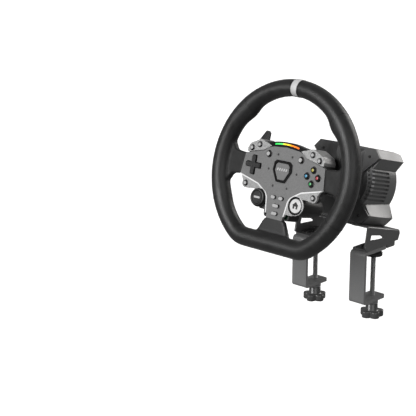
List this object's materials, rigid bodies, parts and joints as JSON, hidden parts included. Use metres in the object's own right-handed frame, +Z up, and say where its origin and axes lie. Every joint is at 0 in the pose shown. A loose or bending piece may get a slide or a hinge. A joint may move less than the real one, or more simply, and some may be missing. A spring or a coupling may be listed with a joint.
{
  "type": "racing wheel",
  "caption": "D-shaped leather racing wheel with a button face and shift paddles, on a direct-drive motor base whose bracket clamps to a desk edge.",
  "frame": {"origin": "midway between the two desk clamps, on the desk top, at the front edge of the desk", "axes": "+X the driver's right, +Y away from the driver, +Z up; the wheel's shaft leans 15.1 degrees"},
  "size_m": [0.28, 0.2625, 0.3916],
  "materials": {
    "bare_metal": "satin machined",
    "rim_leather": "fine-grain black leather with stitching",
    "stripe_leather": "light grey leather",
    "face_metal": "fine satin grain",
    "dark_steel": "black oxide",
    "black_plastic": "moulded matte",
    "pod_metallic": "metallic grey with sparkle",
    "bright_trim": "bright satin",
    "gloss_black": "gloss",
    "light_lens": "coloured translucent lens",
    "circuit_board": "solder mask",
    "black_anodised": "black anodised",
    "paddle_black": "black satin",
    "dpad_plastic": "satin",
    "knob_plastic": "satin",
    "home_white": "gloss",
    "button_grey": "satin",
    "action_gloss": "gloss black with a coloured mark",
    "base_paint": "dark grey powder coat",
    "port_plastic": "moulded",
    "winding_metal": "laminations and copper",
    "bracket_paint": "satin powder coat",
    "clamp_paint": "satin powder coat",
    "screw_black": "black"
  },
  "bodies": {
    "base": {"front_cover": "base_paint", "motor_housing": "base_paint", "upper_shell": "base_paint", "lower_shell": "base_paint", "rear_cover": "black_plastic", "rear_ports": "port_plastic", "stator": "winding_metal", "bearings": "bare_metal", "controller_board": "circuit_board", "bracket": "bracket_paint", "bracket_bolts": "dark_steel", "clamp_frame_left": "clamp_paint", "clamp_frame_right": "clamp_paint"},
    "wheel": {"rim_frame": "bare_metal", "rim_grip": "rim_leather", "rim_stripe": "stripe_leather", "face_plate": "face_metal", "face_screws": "dark_steel", "switch_housing": "black_plastic", "control_pods": "pod_metallic", "face_trims": "bright_trim", "led_bezel": "gloss_black", "led_lenses": "light_lens", "badge": "gloss_black", "button_board": "circuit_board", "paddle_pins": "bare_metal", "shifter_body": "black_plastic", "qr_hub": "black_anodised", "shaft": "bare_metal", "rotor": "bare_metal", "dpad_yoke": "black_plastic"},
    "qr_collar": {"qr_collar": "black_anodised"},
    "paddle_left": {"paddle_left": "paddle_black"},
    "paddle_right": {"paddle_right": "paddle_black"},
    "dpad_pivot": {"dpad_pivot": "bare_metal"},
    "dpad": {"dpad": "dpad_plastic"},
    "encoder_ring": {"encoder_ring": "knob_plastic"},
    "encoder_cap": {"encoder_cap": "knob_plastic"},
    "home_button": {"home_button": "home_white"},
    "power_button": {"power_button": "knob_plastic"},
    "clamp_pad_left": {"clamp_pad_left": "dark_steel"},
    "clamp_screw_left": {"clamp_screw_left": "screw_black"},
    "menu_button_left": {"menu_button_left": "button_grey"},
    "mode_button_left": {"mode_button_left": "button_grey"},
    "lower_button_left": {"lower_button_left": "button_grey"},
    "shoulder_button_left_inner": {"shoulder_button_left_inner": "button_grey"},
    "shoulder_button_left_outer": {"shoulder_button_left_outer": "button_grey"},
    "clamp_pad_right": {"clamp_pad_right": "dark_steel"},
    "clamp_screw_right": {"clamp_screw_right": "screw_black"},
    "menu_button_right": {"menu_button_right": "button_grey"},
    "mode_button_right": {"mode_button_right": "button_grey"},
    "lower_button_right": {"lower_button_right": "button_grey"},
    "shoulder_button_right_inner": {"shoulder_button_right_inner": "button_grey"},
    "shoulder_button_right_outer": {"shoulder_button_right_outer": "button_grey"},
    "select_button_upper": {"select_button_upper": "button_grey"},
    "select_button_lower": {"select_button_lower": "button_grey"},
    "action_button_right": {"action_button_right": "action_gloss"},
    "action_button_top": {"action_button_top": "action_gloss"},
    "action_button_left": {"action_button_left": "action_gloss"},
    "action_button_bottom": {"action_button_bottom": "action_gloss"}
  },
  "joints": [
    {"name": "steering", "type": "hinge", "parent": "base", "child": "wheel", "pos_m": [0, -0.1174, 0.144], "axis": [0, 0.9655, -0.2605], "continuous": true},
    {"name": "qr_collar_slide", "type": "slide", "parent": "wheel", "child": "qr_collar", "axis": [0, -0.9655, 0.2605], "range_m": [0, 0.008], "stiffness_N_per_m": 600, "springref_m": -0.004},
    {"name": "paddle_right_pull", "type": "hinge", "parent": "wheel", "child": "paddle_right", "pos_m": [0.038, -0.08448, 0.13512], "axis": [0, -0.2605, -0.9655], "range_deg": [0, 5], "stiffness_Nm_per_rad": 2, "springref_deg": -2.86},
    {"name": "paddle_left_pull", "type": "hinge", "parent": "wheel", "child": "paddle_left", "pos_m": [-0.038, -0.08448, 0.13512], "axis": [0, 0.2605, 0.9655], "range_deg": [0, 5], "stiffness_Nm_per_rad": 2, "springref_deg": -2.86},
    {"name": "dpad_tilt_up_down", "type": "hinge", "parent": "wheel", "child": "dpad_pivot", "pos_m": [-0.0582, -0.11328, 0.14392], "axis": [1, 0, 0], "range_deg": [-4, 4], "stiffness_Nm_per_rad": 0.3},
    {"name": "dpad_tilt_left_right", "type": "hinge", "parent": "dpad_pivot", "child": "dpad", "pos_m": [-0.0582, -0.11328, 0.14392], "axis": [0, 0.2605, 0.9655], "range_deg": [-4, 4], "stiffness_Nm_per_rad": 0.3},
    {"name": "encoder_turn", "type": "hinge", "parent": "wheel", "child": "encoder_ring", "pos_m": [-0.037, -0.12938, 0.09959], "axis": [0, 0.9655, -0.2605], "continuous": true},
    {"name": "encoder_press", "type": "slide", "parent": "encoder_ring", "child": "encoder_cap", "axis": [0, 0.9655, -0.2605], "range_m": [0, 0.0012], "stiffness_N_per_m": 900, "springref_m": -0.0004},
    {"name": "menu_button_left_press", "type": "slide", "parent": "wheel", "child": "menu_button_left", "axis": [0, 0.9655, -0.2605], "range_m": [0, 0.0012], "stiffness_N_per_m": 900, "springref_m": -0.0004},
    {"name": "menu_button_right_press", "type": "slide", "parent": "wheel", "child": "menu_button_right", "axis": [0, 0.9655, -0.2605], "range_m": [0, 0.0012], "stiffness_N_per_m": 900, "springref_m": -0.0004},
    {"name": "action_button_right_press", "type": "slide", "parent": "wheel", "child": "action_button_right", "axis": [0, 0.9655, -0.2605], "range_m": [0, 0.0012], "stiffness_N_per_m": 900, "springref_m": -0.0004},
    {"name": "action_button_top_press", "type": "slide", "parent": "wheel", "child": "action_button_top", "axis": [0, 0.9655, -0.2605], "range_m": [0, 0.0012], "stiffness_N_per_m": 900, "springref_m": -0.0004},
    {"name": "action_button_left_press", "type": "slide", "parent": "wheel", "child": "action_button_left", "axis": [0, 0.9655, -0.2605], "range_m": [0, 0.0012], "stiffness_N_per_m": 900, "springref_m": -0.0004},
    {"name": "action_button_bottom_press", "type": "slide", "parent": "wheel", "child": "action_button_bottom", "axis": [0, 0.9655, -0.2605], "range_m": [0, 0.0012], "stiffness_N_per_m": 900, "springref_m": -0.0004},
    {"name": "shoulder_button_left_outer_press", "type": "slide", "parent": "wheel", "child": "shoulder_button_left_outer", "axis": [0, 0.9655, -0.2605], "range_m": [0, 0.0012], "stiffness_N_per_m": 900, "springref_m": -0.0004},
    {"name": "shoulder_button_left_inner_press", "type": "slide", "parent": "wheel", "child": "shoulder_button_left_inner", "axis": [0, 0.9655, -0.2605], "range_m": [0, 0.0012], "stiffness_N_per_m": 900, "springref_m": -0.0004},
    {"name": "lower_button_left_press", "type": "slide", "parent": "wheel", "child": "lower_button_left", "axis": [0, 0.9655, -0.2605], "range_m": [0, 0.0012], "stiffness_N_per_m": 900, "springref_m": -0.0004},
    {"name": "shoulder_button_right_outer_press", "type": "slide", "parent": "wheel", "child": "shoulder_button_right_outer", "axis": [0, 0.9655, -0.2605], "range_m": [0, 0.0012], "stiffness_N_per_m": 900, "springref_m": -0.0004},
    {"name": "shoulder_button_right_inner_press", "type": "slide", "parent": "wheel", "child": "shoulder_button_right_inner", "axis": [0, 0.9655, -0.2605], "range_m": [0, 0.0012], "stiffness_N_per_m": 900, "springref_m": -0.0004},
    {"name": "lower_button_right_press", "type": "slide", "parent": "wheel", "child": "lower_button_right", "axis": [0, 0.9655, -0.2605], "range_m": [0, 0.0012], "stiffness_N_per_m": 900, "springref_m": -0.0004},
    {"name": "mode_button_left_press", "type": "slide", "parent": "wheel", "child": "mode_button_left", "axis": [0, 0.9655, -0.2605], "range_m": [0, 0.0012], "stiffness_N_per_m": 900, "springref_m": -0.0004},
    {"name": "mode_button_right_press", "type": "slide", "parent": "wheel", "child": "mode_button_right", "axis": [0, 0.9655, -0.2605], "range_m": [0, 0.0012], "stiffness_N_per_m": 900, "springref_m": -0.0004},
    {"name": "select_button_upper_press", "type": "slide", "parent": "wheel", "child": "select_button_upper", "axis": [0, 0.9655, -0.2605], "range_m": [0, 0.0012], "stiffness_N_per_m": 900, "springref_m": -0.0004},
    {"name": "select_button_lower_press", "type": "slide", "parent": "wheel", "child": "select_button_lower", "axis": [0, 0.9655, -0.2605], "range_m": [0, 0.0012], "stiffness_N_per_m": 900, "springref_m": -0.0004},
    {"name": "home_button_press", "type": "slide", "parent": "wheel", "child": "home_button", "axis": [0, 0.9655, -0.2605], "range_m": [0, 0.0012], "stiffness_N_per_m": 900, "springref_m": -0.0004},
    {"name": "power_button_press", "type": "slide", "parent": "base", "child": "power_button", "axis": [0, -0.9655, 0.2605], "range_m": [0, 0.0012], "stiffness_N_per_m": 900, "springref_m": -0.0004},
    {"name": "clamp_travel_left", "type": "slide", "parent": "base", "child": "clamp_pad_left", "axis": [0, 0, -1], "range_m": [0, 0.05]},
    {"name": "clamp_turn_left", "type": "hinge", "parent": "clamp_pad_left", "child": "clamp_screw_left", "pos_m": [-0.0588, 0.037, -0.05], "axis": [0, 0, -1], "range_deg": [0, 14402]},
    {"name": "clamp_travel_right", "type": "slide", "parent": "base", "child": "clamp_pad_right", "axis": [0, 0, -1], "range_m": [0, 0.05]},
    {"name": "clamp_turn_right", "type": "hinge", "parent": "clamp_pad_right", "child": "clamp_screw_right", "pos_m": [0.0588, 0.037, -0.05], "axis": [0, 0, -1], "range_deg": [0, 14402]}
  ],
  "couplings": [
    {"joint": "clamp_turn_left", "follows": "clamp_travel_left", "rad_per_m": 5026.5},
    {"joint": "clamp_turn_right", "follows": "clamp_travel_right", "rad_per_m": 5026.5}
  ]
}
